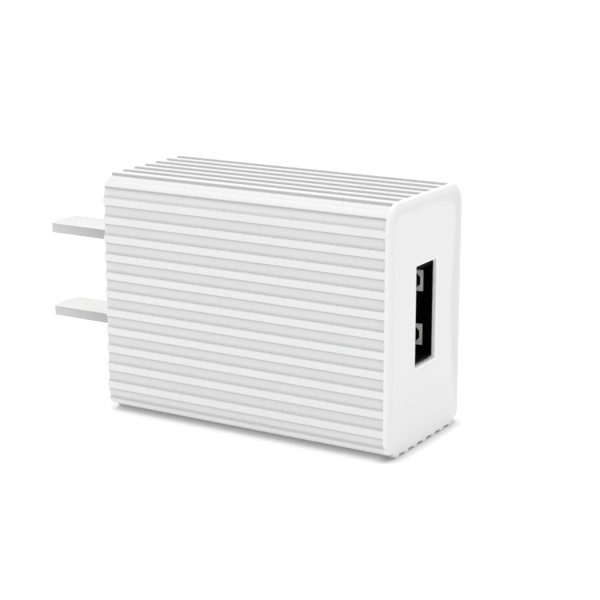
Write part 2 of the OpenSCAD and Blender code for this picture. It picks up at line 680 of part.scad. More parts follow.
chip_resistor_places = [for (i = [0:3]) [board_x + 3 + 2.6 * i, bulk_upper_z - 1.2],
    for (i = [0:2]) [core_x - 3 + 2.6 * i, core_z + pin_z - 1.85], [output_x + 4, output_lower_z + 1],
    [output_x + 7, output_lower_z + 1]];
chip_capacitor_places = [[board_x + 14, bulk_lower_z - 3.9], [core_x, core_z - 0.6],
    [output_x + 2, output_lower_z - 2.4], [output_x + 6, output_lower_z - 2.4]];

module chips(places, l, w, t) in_case() for (p = places)
    translate([p[0] - l / 2, board_back, p[1] - w / 2]) cube([l, t, w]);

module chip_resistors() color([0.12, 0.12, 0.13]) chips(chip_resistor_places, 1.6, 0.8, 0.5);
module chip_capacitors() color([0.72, 0.6, 0.44]) chips(chip_capacitor_places, 2, 1.25, 0.9);

// A fillet of solder round each lead's end
module solder_joints() color(tin) in_case() for (p = lead_places)
    translate([p[0], board_back, p[1]]) rotate([-90, 0, 0]) rotate_extrude($fn = edge_fn)
        polygon([[lead_r + 0.01, 0], [pad_r, 0], [pad_r, pad_t], [lead_r + 0.3, 0.25],
            [lead_r + 0.1, 0.7], [lead_r + 0.01, 0.75]]);

module insulation_sheet() color([0.85, 0.83, 0.7]) in_case() {
    sheet_t = 0.2;
    y = inner_w / 2 - 0.1 - sheet_t;
    block([rail_x, y, -inner_h / 2 + inner_r + 0.2], [inner_x - 0.3, y + sheet_t, inner_h / 2 - inner_r - 0.2]);
}

// ---------- socket ----------

module in_socket() in_case() translate([0, port_y, port_z]) children();

// Window that a spring is cut from, in the wall on one side
module spring_window(side, end)
    translate([spring_root_x() - spring_root_gap, side > 0 ? shell_in_w / 2 - cut : -shell_w / 2 - cut,
            end * spring_place - spring_h / 2 - spring_side_gap])
        cube([spring_l + spring_root_gap + 2 * spring_side_gap, shell_t + 2 * cut,
            spring_h + 2 * spring_side_gap]);

function spring_root_x() = mouth_x - spring_tip_back - spring_l;

module usb_shell() color(tin) in_socket() {
    difference() {
        block([shell_rear_x, -shell_w / 2, -shell_h / 2], [mouth_x, shell_w / 2, shell_h / 2]);
        block([shell_rear_x - cut, -shell_in_w / 2, -shell_in_h / 2],
            [mouth_x + cut, shell_in_w / 2, shell_in_h / 2]);
        for (side = [-1, 1], end = [-1, 1]) spring_window(side, end);
    }
    for (end = [-1, 1])
        block([leg_x, shell_in_w / 2, leg_z(end) - port_z],
            [leg_x + leg_l, board_back + leg_tail - port_y, leg_z(end) - port_z + shell_t]);
}

module usb_insulator() color(black_plastic) in_socket() difference() {
    back = tongue_back_y - port_y;
    face = tongue_face_y - port_y;
    union() {
        block([shell_rear_x, -shell_in_w / 2 + fit_gap, -shell_in_h / 2 + fit_gap],
            [shell_rear_x + block_l, shell_in_w / 2 - fit_gap, shell_in_h / 2 - fit_gap]);
        block([shell_rear_x, back, -tongue_h / 2], [tongue_front_x, face, tongue_h / 2]);
    }
    for (z = beam_places) {
        // groove that the beam sinks into, and slit that its fixed tail comes through
        block([shell_rear_x + block_l, face - beam_slot_depth, z - beam_w / 2 - beam_slot_gap],
            [tongue_front_x - 0.4, face + cut, z + beam_w / 2 + beam_slot_gap]);
        block([shell_rear_x - cut, face - beam_sink - beam_t - fit_gap, z - beam_w / 2 - fit_gap],
            [shell_rear_x + block_l + cut, face - beam_sink + fit_gap, z + beam_w / 2 + fit_gap]);
    }
}

// Fixed rear part of the four contacts: a strip in the block, a leg down and a foot on the board
module usb_contact_tails() color(tin) in_socket() for (z = beam_places) {
    top = tongue_face_y - port_y - beam_sink;
    x = shell_rear_x - 0.4;
    block([x, top - beam_t, z - beam_w / 2], [beam_root_x - spring_root_gap, top, z + beam_w / 2]);
    block([x - beam_t, top - beam_t, z - 0.3], [x + 0.1, board_face - port_y, z + 0.3]);
    block([x - tail_foot_l, board_face - port_y - beam_t, z - 0.3], [x, board_face - port_y, z + 0.3]);
}

// Free spring part of one contact: it slopes up out of the tongue to a crest and dips at its tip
module contact_beam(i) in_socket() {
    root = tongue_face_y - port_y - beam_sink;
    crest = tongue_face_y - port_y + beam_rise;
    points = [[0, root], [beam_l - beam_hook - 0.35, crest], [beam_l - beam_hook + 0.35, crest],
        [beam_l, root]];
    translate([beam_root_x, 0, beam_places[i] - beam_w / 2]) linear_extrude(beam_w)
        polygon(concat(points, backwards([for (p = points) [p[0], p[1] - beam_t]])));
}

module contact_beam_1() color([0.85, 0.7, 0.35]) contact_beam(0);
module contact_beam_2() color([0.85, 0.7, 0.35]) contact_beam(1);
module contact_beam_3() color([0.85, 0.7, 0.35]) contact_beam(2);
module contact_beam_4() color([0.85, 0.7, 0.35]) contact_beam(3);

// Leaf spring with an eight-sided hole: side is the wall it springs from, end its place up or down
module retention_spring(side, end) in_socket() mirror([0, side > 0 ? 0 : 1, 0])
    translate([spring_root_x(), 0, end * spring_place]) {
        outer = shell_w / 2;
        t = 0.25;
        points = [[0, outer], [spring_l - spring_hook, outer - spring_dip],
            [spring_l, outer - spring_dip + spring_flare]];
        hole_end = spring_l - spring_hole_inset;
        half = spring_hole_h / 2;
        c = spring_hole_chamfer;
        difference() {
            linear_extrude(spring_h, center = true)
                polygon(concat(points, backwards([for (p = points) [p[0], p[1] - t]])));
            rotate([-90, 0, 0]) linear_extrude(shell_w)
                polygon([[hole_end, half - c], [hole_end - c, half], [hole_end - spring_hole_l + c, half],
                    [hole_end - spring_hole_l, half - c], [hole_end - spring_hole_l, c - half],
                    [hole_end - spring_hole_l + c, -half], [hole_end - c, -half], [hole_end, c - half]]);
        }
    }

module retention_spring_upper_board() color(tin) retention_spring(1, 1);
module retention_spring_lower_board() color(tin) retention_spring(1, -1);
module retention_spring_upper_tongue() color(tin) retention_spring(-1, 1);
module retention_spring_lower_tongue() color(tin) retention_spring(-1, -1);

housing_shell();
rear_cover();
blade_upper();
blade_lower();
contact_leaf_upper();
contact_leaf_lower();
blade_rivets();
circuit_board();
fusible_resistor();
resistor_sleeve();
bridge_rectifier();
mains_capacitor_upper();
mains_capacitor_upper_sleeve();
mains_capacitor_upper_bung();
mains_capacitor_lower();
mains_capacitor_lower_sleeve();
mains_capacitor_lower_bung();
choke_core();
choke_winding();
transformer_core_upper();
transformer_core_lower();
transformer_bobbin();
primary_winding();
secondary_winding();
winding_tape();
core_tape();
transformer_pins();
controller_chip();
output_diode();
safety_capacitor();
output_capacitor_lower();
output_capacitor_lower_sleeve();
output_capacitor_lower_bung();
output_capacitor_upper();
output_capacitor_upper_sleeve();
output_capacitor_upper_bung();
chip_resistors();
chip_capacitors();
solder_joints();
insulation_sheet();
usb_shell();
usb_insulator();
usb_contact_tails();
contact_beam_1();
contact_beam_2();
contact_beam_3();
contact_beam_4();
retention_spring_upper_board();
retention_spring_lower_board();
retention_spring_upper_tongue();
retention_spring_lower_tongue();
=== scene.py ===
"""A USB wall charger with a ribbed white case, dressed and lit for a plain studio picture.

Everything is in metres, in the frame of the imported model: +X leaves the socket, +Z is up, and the
charger stands on its ribbed bottom. Each sub-assembly is a class, and each finish a small dataclass.
"""

from __future__ import annotations

import json
import logging
import math
from dataclasses import dataclass, field
from enum import Enum
from typing import Callable, Mapping, Sequence, Union

import bmesh
import bpy
import numpy as np
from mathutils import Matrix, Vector

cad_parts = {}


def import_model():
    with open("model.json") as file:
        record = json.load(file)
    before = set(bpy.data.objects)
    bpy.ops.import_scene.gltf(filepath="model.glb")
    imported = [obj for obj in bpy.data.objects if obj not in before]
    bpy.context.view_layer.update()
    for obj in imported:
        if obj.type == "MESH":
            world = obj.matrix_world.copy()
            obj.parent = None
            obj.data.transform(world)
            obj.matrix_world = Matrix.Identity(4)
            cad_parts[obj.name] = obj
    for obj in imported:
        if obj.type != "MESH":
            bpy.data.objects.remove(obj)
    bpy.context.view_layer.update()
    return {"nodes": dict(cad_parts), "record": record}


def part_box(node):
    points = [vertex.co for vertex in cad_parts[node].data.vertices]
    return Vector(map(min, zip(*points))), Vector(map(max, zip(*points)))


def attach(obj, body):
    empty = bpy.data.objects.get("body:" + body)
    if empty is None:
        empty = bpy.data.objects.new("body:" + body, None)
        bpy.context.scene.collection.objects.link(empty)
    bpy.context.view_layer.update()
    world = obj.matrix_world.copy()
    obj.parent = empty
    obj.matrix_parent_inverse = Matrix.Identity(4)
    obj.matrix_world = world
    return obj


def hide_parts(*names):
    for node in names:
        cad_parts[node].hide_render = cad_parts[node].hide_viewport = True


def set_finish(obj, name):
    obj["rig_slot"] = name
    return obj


LOG = logging.getLogger("charger")
MM = 0.001
# painted light and shade that the case's mesh carries: shade on groove floors, rib walls and inside the
# socket face's rim, and a highlight on the rounded edges
TONES = ("floor", "wall", "rim_shade", "edge")
CASE_BODY = "charger"

# the socket face: its rings and the band of painted shade inside its rim, in shares of that band's width
FACE_REACHES = (0.02, 0.3, 0.6, 0.8, 1.0, 1.15, 1.4, 2.4)
RIM_SHADE_RISE, RIM_SHADE_FALL, RIM_SHADE_END = 0.3, 0.5, 1.4
LAST_RING = 0.05 * MM  # from the opening
RAIL_POINTS = 16
COVER_SOFTENING = 0.08 * MM

Colour = tuple[float, float, float]
Number = Union["Value", float, int]


def grey(level: float) -> Colour:
    """A neutral colour."""
    return (level, level, level)


# ------------------------------------------------------------------ shader arithmetic


class Value:
    """One number inside a material, on which Python's arithmetic adds Math nodes."""

    def __init__(self, kit: "Kit", socket: bpy.types.NodeSocket) -> None:
        self.kit = kit
        self.socket = socket

    def _math(self, operation: str, first: Number, second: Number = 0.0, clamp: bool = False) -> "Value":
        """A new value from a Math node.

        Args:
            operation: the Math node's operation.
            first: its first input.
            second: its second input.
            clamp: whether the result is kept between 0 and 1.

        Returns:
            The node's result.
        """
        settings = {"operation": operation, "use_clamp": clamp}
        return self.kit.value("ShaderNodeMath", settings, {0: first, 1: second})

    def __add__(self, other: Number) -> "Value":
        """Sum."""
        return self._math("ADD", self, other)

    __radd__ = __add__

    def __sub__(self, other: Number) -> "Value":
        """Difference."""
        return self._math("SUBTRACT", self, other)

    def __rsub__(self, other: Number) -> "Value":
        """Difference, the value taken away."""
        return self._math("SUBTRACT", other, self)

    def __mul__(self, other: Number) -> "Value":
        """Product."""
        return self._math("MULTIPLY", self, other)

    __rmul__ = __mul__

    def __truediv__(self, other: Number) -> "Value":
        """Quotient."""
        return self._math("DIVIDE", self, other)

    def __pow__(self, other: Number) -> "Value":
        """Power."""
        return self._math("POWER", self, other)

    def clamped(self) -> "Value":
        """The value kept between 0 and 1."""
        return self._math("MULTIPLY", self, 1.0, clamp=True)

    def step(self, start: float, end: float) -> "Value":
        """0 below start and 1 above end, straight in between."""
        return self._math("MULTIPLY", self - start, 1.0 / (end - start), clamp=True)

    def sine(self) -> "Value":
        """Sine of the value in radians."""
        return self._math("SINE", self)


class Kit:
    """The nodes of one material, with a Principled shader at the end."""

    def __init__(self, name: str) -> None:
        """Starts an empty material of that name."""
        self.material = bpy.data.materials.new(name)
        self.material.use_nodes = True
        self.tree = self.material.node_tree
        self.tree.nodes.clear()
        self.shader = self.node("ShaderNodeBsdfPrincipled")
        self.node("ShaderNodeOutputMaterial", {}, {"Surface": self.shader.outputs[0]})
        self._place: bpy.types.NodeSocket | None = None

    def node(self, kind: str, settings: Mapping[str, object] | None = None,
             inputs: Mapping[Union[str, int], object] | None = None) -> bpy.types.Node:
        """Adds one node: its settings first, then its inputs.

        Args:
            kind: the node's type name.
            settings: attributes of the node, such as a Math node's operation.
            inputs: sockets by name or number, each with a constant, a socket or a Value.

        Returns:
            The node.
        """
        made = self.tree.nodes.new(kind)
        for key, setting in (settings or {}).items():
            setattr(made, key, setting)
        for key, given in (inputs or {}).items():
            self.feed(made.inputs[key], given)
        return made

    def feed(self, socket: bpy.types.NodeSocket, given: object) -> None:
        """Links a socket or a Value to an input, or sets a constant on it."""
        if isinstance(given, Value):
            self.tree.links.new(given.socket, socket)
        elif isinstance(given, bpy.types.NodeSocket):
            self.tree.links.new(given, socket)
        else:
            socket.default_value = given

    def value(self, kind: str, settings: Mapping[str, object] | None = None,
              inputs: Mapping[Union[str, int], object] | None = None, output: Union[str, int] = 0) -> Value:
        """Adds a node and gives one of its outputs as a Value.

        Args:
            kind: the node's type name.
            settings: attributes of the node.
            inputs: its sockets' constants or links.
            output: which output, by name or number.

        Returns:
            That output.
        """
        return Value(self, self.node(kind, settings, inputs).outputs[output])

    @property
    def place(self) -> bpy.types.NodeSocket:
        """The point's place in the frame, in metres."""
        if self._place is None:
            self._place = self.node("ShaderNodeTexCoord").outputs["Object"]
        return self._place

    def stretched(self, stretch: Sequence[float]) -> bpy.types.NodeSocket:
        """The point's place with each axis multiplied by its own factor."""
        return self.node("ShaderNodeVectorMath", {"operation": "MULTIPLY"},
                         {0: self.place, 1: tuple(stretch)}).outputs[0]

    def along(self, axis: int) -> Value:
        """The point's place along one axis: 0 is X, 1 is Y and 2 is Z."""
        return self.value("ShaderNodeSeparateXYZ", {}, {0: self.place}, output=axis)

    def noise(self, per_metre: float, detail: float = 2.0,
              stretch: Sequence[float] = (1.0, 1.0, 1.0)) -> Value:
        """Soft noise about 0.5, with per_metre blots to a metre along an axis of stretch 1."""
        return self.value("ShaderNodeTexNoise", {},
                          {"Vector": self.stretched(stretch), "Scale": per_metre, "Detail": detail})

    def cells(self, per_metre: float, feature: str = "F1") -> Value:
        """Distance within random cells, per_metre of them to a metre."""
        return self.value("ShaderNodeTexVoronoi", {"feature": feature},
                          {"Vector": self.place, "Scale": per_metre}, output="Distance")

    def crowding(self, reach: float) -> Value:
        """How open the surface is within reach: 1 in the open and 0 in a tight corner."""
        return self.value("ShaderNodeAmbientOcclusion", {"samples": 12}, {"Distance": reach}, output="AO")

    def painted(self, name: str) -> Value:
        """A number that the piece's own mesh carries at each vertex."""
        return self.value("ShaderNodeAttribute", {"attribute_name": name}, output="Fac")

    def scratches(self, pitch: float) -> Value:
        """Fine lines along X, each thirty times as long as wide."""
        return self.noise(1.0 / pitch, 4.0, (1.0 / 30.0, 1.0, 1.0))

    def mixed(self, share: Value, under: object, above: object) -> bpy.types.NodeSocket:
        """A Mix node's colour.

        Args:
            share: how much of the second colour.
            under: the first colour, as a socket or with its alpha.
            above: the second colour, as a socket or with its alpha.

        Returns:
            The mixed colour.
        """
        inputs = {0: share, 6: under, 7: above}
        return self.node("ShaderNodeMix", {"data_type": "RGBA"}, inputs).outputs[2]

    def blend(self, first: Colour, second: Colour, share: Value) -> bpy.types.NodeSocket:
        """A colour between two, by share."""
        return self.mixed(share, (*first, 1.0), (*second, 1.0))

    def over(self, under: bpy.types.NodeSocket, colour: Colour, share: Value) -> bpy.types.NodeSocket:
        """A colour laid over another one, by share."""
        return self.mixed(share, under, (*colour, 1.0))

    def relief(self, height: Value, depth: float) -> None:
        """Bumps the surface by a height of 0 to 1 that stands for depth in metres."""
        bump = self.node("ShaderNodeBump", {}, {"Strength": 1.0, "Distance": depth, "Height": height})
        self.feed(self.shader.inputs["Normal"], bump.outputs[0])


# ------------------------------------------------------------------ finishes


class Pattern(Enum):
    """What a finish shows close to."""

    GRAIN = "fine spark-eroded grain of a mould"
    BRUSHED = "fine drawing lines along X"
    WOUND = "turns of wire, stacked along Z"
    TRACKS = "tracks and solder mask of a board"
    CREPE = "slight wrinkles of a shrunk or wrapped film"
    SPECKLE = "sintered or fired powder"
    PUDDLED = "metal that has run and set"


@dataclass(frozen=True)
class Finish:
    """One material slot's look.

    Attributes:
        slot: the material slot of the record.
        tone: main colour, linear.
        second: colour that the pattern mixes in.
        rough: roughness at its smoothest.
        spread: how much rougher the pattern makes it.
        metal: metallic share.
        depth: height of the pattern's relief, in metres.
        pattern: what it shows close to.
        pitch: size of the pattern, in metres.
        coat: clear coat weight.
    """

    slot: str
    tone: Colour
    second: Colour
    rough: float
    spread: float = 0.1
    metal: float = 0.0
    depth: float = 2e-6
    pattern: Pattern = Pattern.GRAIN
    pitch: float = 0.2 * MM
    coat: float = 0.0

    def build(self) -> bpy.types.Material:
        """Makes the material.

        Returns:
            The finished material, named after its slot.
        """
        kit = Kit(self.slot)
        share, height = PATTERNS[self.pattern](self, kit)
        shader = kit.shader.inputs
        kit.feed(shader["Base Color"], kit.blend(self.tone, self.second, share))
        kit.feed(shader["Roughness"], share * self.spread + self.rough)
        kit.feed(shader["Metallic"], self.metal)
        kit.feed(shader["Coat Weight"], self.coat)
        kit.relief(height, self.depth)
        self.extra(kit)
        return kit.material

    def extra(self, kit: Kit) -> None:
        """Room for what only one finish has."""

    def grain(self, kit: Kit) -> tuple[Value, Value]:
        """Fine even grain with broad, faint cloudiness."""
        fine = kit.noise(1.0 / self.pitch, 3.0)
        return (kit.noise(0.06 / self.pitch, 2.0).step(0.3, 0.7) * 0.6 + fine * 0.4), fine

    def brushed(self, kit: Kit) -> tuple[Value, Value]:
        """Scratches along X."""
        lines = kit.scratches(self.pitch)
        return lines.step(0.35, 0.7), lines

    def wound(self, kit: Kit) -> tuple[Value, Value]:
        """Round wires side by side along Z, a little uneven in colour from turn to turn."""
        wave = (kit.along(2) * (2.0 * math.pi / self.pitch)).sine() * 0.5 + 0.5
        height = wave ** 0.5
        uneven = kit.noise(1.0 / self.pitch, 1.0, (0.05, 0.05, 1.0))
        return ((1.0 - height) * 0.8 + uneven * 0.2).clamped(), height

    def tracks(self, kit: Kit) -> tuple[Value, Value]:
        """Copper areas between thin gaps under solder mask, as the borders of random cells."""
        border = kit.cells(1.0 / self.pitch, "DISTANCE_TO_EDGE").step(0.04, 0.1)
        return (border * 0.75 + kit.noise(8.0 / self.pitch) * 0.25), border

    def crepe(self, kit: Kit) -> tuple[Value, Value]:
        """Long shallow wrinkles over a smooth film."""
        folds = kit.noise(1.0 / self.pitch, 2.0, (0.4, 1.0, 1.0))
        return folds.step(0.3, 0.75), folds

    def speckle(self, kit: Kit) -> tuple[Value, Value]:
        """Grains with darker pores between them."""
        pores = kit.cells(1.0 / self.pitch).step(0.1, 0.6)
        return pores * 0.7 + kit.noise(0.2 / self.pitch) * 0.3, pores

    def puddled(self, kit: Kit) -> tuple[Value, Value]:
        """Bright metal with dull, wandering patches."""
        skin = kit.noise(1.0 / self.pitch, 3.0)
        return skin.step(0.45, 0.62), skin


PATTERNS: dict[Pattern, Callable[[Finish, Kit], tuple[Value, Value]]] = {
    Pattern.GRAIN: Finish.grain,
    Pattern.BRUSHED: Finish.brushed,
    Pattern.WOUND: Finish.wound,
    Pattern.TRACKS: Finish.tracks,
    Pattern.CREPE: Finish.crepe,
    Pattern.SPECKLE: Finish.speckle,
    Pattern.PUDDLED: Finish.puddled,
}


@dataclass(frozen=True)
class RibbedPlastic(Finish):
    """White case plastic, with painted shade in the grooves, on the rib walls and inside the socket face's
    rim, and a painted highlight along the rounded edges and the opening's wall.

    Attributes:
        groove_shade_tone: colour of the groove floors, a painted shade.
        wall_shade_tone: colour of the narrow rib walls, a darker painted shade.
        rim_shade_tone: colour of the painted shade inside the socket face's rim.
        edge_highlight_tone: colour of the painted highlight on the rounded edges and the opening's wall.
    """

    groove_shade_tone: Colour = grey(0.7)
    wall_shade_tone: Colour = grey(0.4)
    rim_shade_tone: Colour = grey(0.7)
    edge_highlight_tone: Colour = grey(0.9)

    def extra(self, kit: Kit) -> None:
        """Mixes in the painted shade of grooves, rib walls and the socket face's rim, and the painted
        highlight of the edges, where the mesh carries them.
        """
        cloud = (kit.noise(0.06 / self.pitch, 2.0) - 0.5) * 0.06
        # shares of painted shade and highlight that the mesh carries
        floor, wall, rim_shade, edge = (kit.painted(name) for name in TONES)
        colour = kit.blend(self.tone, self.groove_shade_tone, (floor + cloud).clamped())
        for share, tone in ((wall, self.wall_shade_tone), (rim_shade, self.rim_shade_tone), (edge, self.edge_highlight_tone)):
            colour = kit.over(colour, tone, share)
        kit.feed(kit.shader.inputs["Base Color"], colour)
        kit.feed(kit.shader.inputs["Roughness"], floor * self.spread + cloud + self.rough)


@dataclass(frozen=True)
class BladePlating(Finish):
    """Nickel on stamped brass: bright flats, and rougher sheared edges whose darker colour is painted shade
    that deepens towards the case.

    Attributes:
        edge_shade_tip: painted shade of a sheared edge at the blade's tip.
        edge_shade_root: painted shade of a sheared edge at the case.
        root_x: where the blade enters the case.
        tip_x: where the blade ends.
    """

    edge_shade_tip: Colour = grey(0.5)
    edge_shade_root: Colour = grey(0.3)
    root_x: float = 0.0
    tip_x: float = -0.01

    def extra(self, kit: Kit) -> None:
        """Mixes in the painted shade of the sheared faces, where the mesh marks them, and makes them
        rougher.
        """
        edge = kit.painted("edge")
        # painted shade on the sheared faces, darker from the tip towards the case
        reach = kit.along(0).step(self.tip_x, self.root_x) if self.tip_x < self.root_x else edge * 0.0
        lines = kit.scratches(self.pitch)
        sheared = kit.blend(self.edge_shade_tip, self.edge_shade_root, reach)
        flat = kit.blend(self.tone, self.second, lines.step(0.3, 0.75))
        kit.feed(kit.shader.inputs["Base Color"], kit.mixed(edge, flat, sheared))
        kit.feed(kit.shader.inputs["Roughness"], edge * 0.25 + lines * self.spread + self.rough)


# ------------------------------------------------------------------ surfaces


def object_from(name: str, points: np.ndarray, faces: Sequence[np.ndarray], sharp_deg: float = 38.0,
                paint: Mapping[str, np.ndarray] | None = None) -> bpy.types.Object:
    """Makes a mesh object, smooth shaded up to an angle, with numbers painted on its vertices.

    Args:
        name: the piece's name.
        points: vertices, one row each.
        faces: arrays of vertex numbers, one row to a face.
        sharp_deg: edges bent more than this stay sharp.
        paint: numbers per vertex, by name.

    Returns:
        The linked object, at the origin.
    """
    mesh = bpy.data.meshes.new(name)
    mesh.from_pydata(points.tolist(), [], [row for block in faces for row in block.tolist()])
    for key, numbers in (paint or {}).items():
        mesh.attributes.new(key, "FLOAT", "POINT").data.foreach_set("value", np.asarray(numbers, np.float32))
    mesh.validate()
    mesh.shade_smooth()
    mesh.set_sharp_from_angle(angle=math.radians(sharp_deg))
    made = bpy.data.objects.new(name, mesh)
    bpy.context.scene.collection.objects.link(made)
    return made


def grid_faces(rings: int, around: int, closed_ends: bool) -> np.ndarray:
    """Quads over a grid of rings, each ring closed on itself.

    Args:
        rings: number of rings.
        around: points in a ring.
        closed_ends: whether the last ring joins the first.

    Returns:
        An array of four vertex numbers per quad.
    """
    ring = np.arange(rings if closed_ends else rings - 1)[:, None]
    step = np.arange(around)[None, :]
    here, there = ring * around, ((ring + 1) % rings) * around
    after = (step + 1) % around
    quads = np.stack([here + step, here + after, there + after, there + step], axis=-1)
    return quads.reshape(-1, 4)


def cap(around: int, ring: int, flip: bool) -> np.ndarray:
    """One flat face over a whole ring; flip turns it over."""
    row = ring * around + np.arange(around)
    return (row[::-1] if flip else row)[None, :]


# ------------------------------------------------------------------ case


@dataclass
class Ring:
    """One ring of points round the case, with the painted shade and highlight of each.

    Attributes:
        points: the places.
        floor: share of painted shade on the groove floor.
        wall: share of painted shade on the rib walls.
        rim_shade: share of painted shade inside the socket face's rim.
        edge: share of painted highlight on the rounded edges and the opening's wall.
    """

    points: np.ndarray
    floor: np.ndarray
    wall: np.ndarray
    rim_shade: np.ndarray
    edge: np.ndarray


@dataclass
class Case:
    """The ribbed shell and the cover behind it.

    Attributes:
        corner: radius of the long corners over the ribs.
        wall: wall under the grooves.
        front_wall: wall that the socket opens through.
        front_round: rounding of the edge round the socket face.
        rear_round: rounding of the edge round the plug face.
        spacing: wanted distance from rib to rib.
        rib_top: width of a rib's top.
        rib_slope: width of one sloping rib wall.
        rib_height: height of a rib.
        wall_shade_shares: how strongly the rib walls are painted with shade on the top, on the sides facing
            up and facing down.
        band_slope: length over which a groove runs out into the plain band at the socket face.
        under_edge: how much of the socket face's rounding the bottom edge has.
        rail: height and thickness of the four rails that the board slides between.
        rail_gap: clearance between a rail and the board.
        rail_start: distance of the rails' ends from the plug face.
        cover: thickness of the rear cover's plate.
        cover_step: how far the cover steps into the wall.
        lip: chamfer of the rim that the cover sits in.
        port_size: width and height of the socket's opening.
        port_shift: sideways place of the opening.
        port_rise: height of the opening over the case's middle.
        port_round: rounding of the opening's edge.
        low: least corner of the case, read from the frame.
        high: greatest corner of the case, read from the frame.
    """

    corner: float = 3.0 * MM
    wall: float = 1.6 * MM
    front_wall: float = 1.6 * MM
    front_round: float = 0.7 * MM
    rear_round: float = 0.2 * MM
    spacing: float = 2.66 * MM
    rib_top: float = 0.95 * MM
    rib_slope: float = 0.16 * MM
    rib_height: float = 0.4 * MM
    wall_shade_shares: tuple[float, float, float] = (0.85, 0.38, 0.85)
    band_slope: float = 0.1 * MM
    under_edge: float = 0.12
    rail: float = 0.9 * MM
    rail_gap: float = 0.1 * MM
    rail_start: float = 6.0 * MM
    cover: float = 2.0 * MM
    cover_step: float = 0.7 * MM
    lip: float = 0.1 * MM
    port_size: tuple[float, float] = (6.0 * MM, 13.9 * MM)
    port_shift: float = -0.15 * MM
    port_rise: float = 0.85 * MM
    port_round: float = 0.14 * MM
    low: Vector = field(default_factory=Vector)
    high: Vector = field(default_factory=Vector)

    def __post_init__(self) -> None:
        """Reads the case's box from the frame and works out the rib spacing."""
        self.low, self.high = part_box("housing_shell")
        self.half = ((self.high.y - self.low.y) / 2, (self.high.z - self.low.z) / 2)
        self.middle = (self.low.z + self.high.z) / 2
        self.side_run = self.half[1] - self.corner
        self.top_run = self.half[0] - self.corner
        self.arc_run = math.pi * self.corner / 2
        self.quarter = self.side_run + self.arc_run + self.top_run
        self.pitch = self.quarter / round(self.quarter / self.spacing)

    def stations(self) -> np.ndarray:
        """Places round the outline, closer together on the rib walls, over the whole way round."""
        top, base = self.rib_top / 2, self.rib_top / 2 + self.rib_slope
        wall = top + (base - top) * np.linspace(0, 1, 7)
        floor = base + (self.pitch / 2 - base) * np.array([0.08, 0.2, 0.35, 0.6])
        half = np.concatenate([[0.0, top * 0.5], wall, floor])
        whole = np.concatenate([half, [self.pitch / 2], self.pitch - half[:0:-1]])
        ribs = np.arange(4 * round(self.quarter / self.pitch))[:, None] * self.pitch
        return (ribs + whole[None, :]).ravel()

    def from_rib(self, way: np.ndarray) -> np.ndarray:
        """Distance along the outline to the nearest rib's middle."""
        return np.abs((way + self.pitch / 2) % self.pitch - self.pitch / 2)

    def groove(self, way: np.ndarray) -> np.ndarray:
        """Depth of the outline under the rib tops: 0 on a rib, the rib height in a groove.

        The distance to the nearest rib's middle goes through a smooth step across the rib's wall,
        so that both of the wall's edges are rounded.
        """
        near = self.from_rib(way)
        share = np.clip((near - self.rib_top / 2) / self.rib_slope, 0, 1)
        return self.rib_height * share * share * (3 - 2 * share)

    def outline(self, way: np.ndarray, size: tuple[float, float], corner: float,
                sunk: np.ndarray | float = 0.0) -> np.ndarray:
        """Points of a rounded rectangle that keeps step with the case's outline.

        The way round is folded into one quarter, from the middle of a side over the corner to the
        middle of the top. A stretch that is straight or an arc on the case is straight or an arc here.

        Args:
            way: places round the case's outline.
            size: half width and half height of the rectangle.
            corner: its corner radius.
            sunk: how far each point lies inside it.

        Returns:
            Y and Z of each point, in two columns.
        """
        turn = np.floor(way / self.quarter).astype(int) % 4
        part = way - np.floor(way / self.quarter) * self.quarter
        part = np.where(turn % 2 == 1, self.quarter - part, part)
        up = np.clip(part / self.side_run, 0, 1) * (size[1] - corner)
        angle = np.clip((part - self.side_run) / self.arc_run, 0, 1) * math.pi / 2
        over = np.clip((part - self.side_run - self.arc_run) / self.top_run, 0, 1) * (size[0] - corner)
        reach = corner - sunk
        y = size[0] - corner - over + reach * np.cos(angle)
        z = up + reach * np.sin(angle)
        return np.stack([np.where((turn == 1) | (turn == 2), -y, y), np.where(turn >= 2, -z, z)], axis=1)

    def paint(self, way: np.ndarray) -> tuple[np.ndarray, np.ndarray]:
        """Shares of painted shade on the groove floor and on the rib walls at each place.

        The wall's share is 1 on the wall. It falls off over the nearest fifth of the floor on the top,
        and as the fourth power of what is left of the way to the floor's middle on the sides.
        """
        near = self.from_rib(way)
        top, base = self.rib_top / 2, self.rib_top / 2 + self.rib_slope
        floor = np.clip((near - top) / self.rib_slope, 0, 1)
        rise = np.clip((near - top) / (0.35 * self.rib_slope), 0, 1)
        gone = np.clip((near - base) / (self.pitch / 2 - base), 0, 1)
        lying = self.lying(way)
        top_wall = np.clip(1 - gone / 0.2, 0, 1) * self.wall_shade_shares[0]
        return floor, rise * (lying * top_wall + (1 - lying) * (1 - gone) ** 4 * self.side_share(way))

    def side_share(self, way: np.ndarray) -> np.ndarray:
        """How strongly an upright side's rib walls are painted with shade: one number where they face up,
        one where down.
        """
        ahead = (way + self.pitch / 2) % self.pitch > self.pitch / 2
        climbing = self.outline(way, self.half, self.corner)[:, 0] > 0
        return np.where(ahead == climbing, self.wall_shade_shares[1], self.wall_shade_shares[2])

    def lying(self, way: np.ndarray) -> np.ndarray:
        """How much the outline lies flat: 0 on the upright sides, 1 on the top and the bottom."""
        part = way % (2 * self.quarter)
        part = np.minimum(part, 2 * self.quarter - part)
        return np.clip((part - self.side_run) / self.arc_run, 0, 1)

    def plain_band(self, way: np.ndarray, x: float) -> np.ndarray:
        """How far the plain band at the socket face fills the grooves: along the bottom it doesn't."""
        start = self.high.x - self.low.x - self.front_round - self.band_slope
        share = np.clip((x - start) / self.band_slope, 0, 1)
        return (1 - self.under(way)) * share * share * (3 - 2 * share)

    def under(self, way: np.ndarray) -> np.ndarray:
        """1 along the bottom, falling off smoothly up its corners to 0 on the rest of the outline."""
        height = self.outline(way, self.half, self.corner)[:, 1] + self.half[1]
        share = np.clip(1.25 - height / (0.8 * self.corner), 0, 1)
        return share * share * (3 - 2 * share)

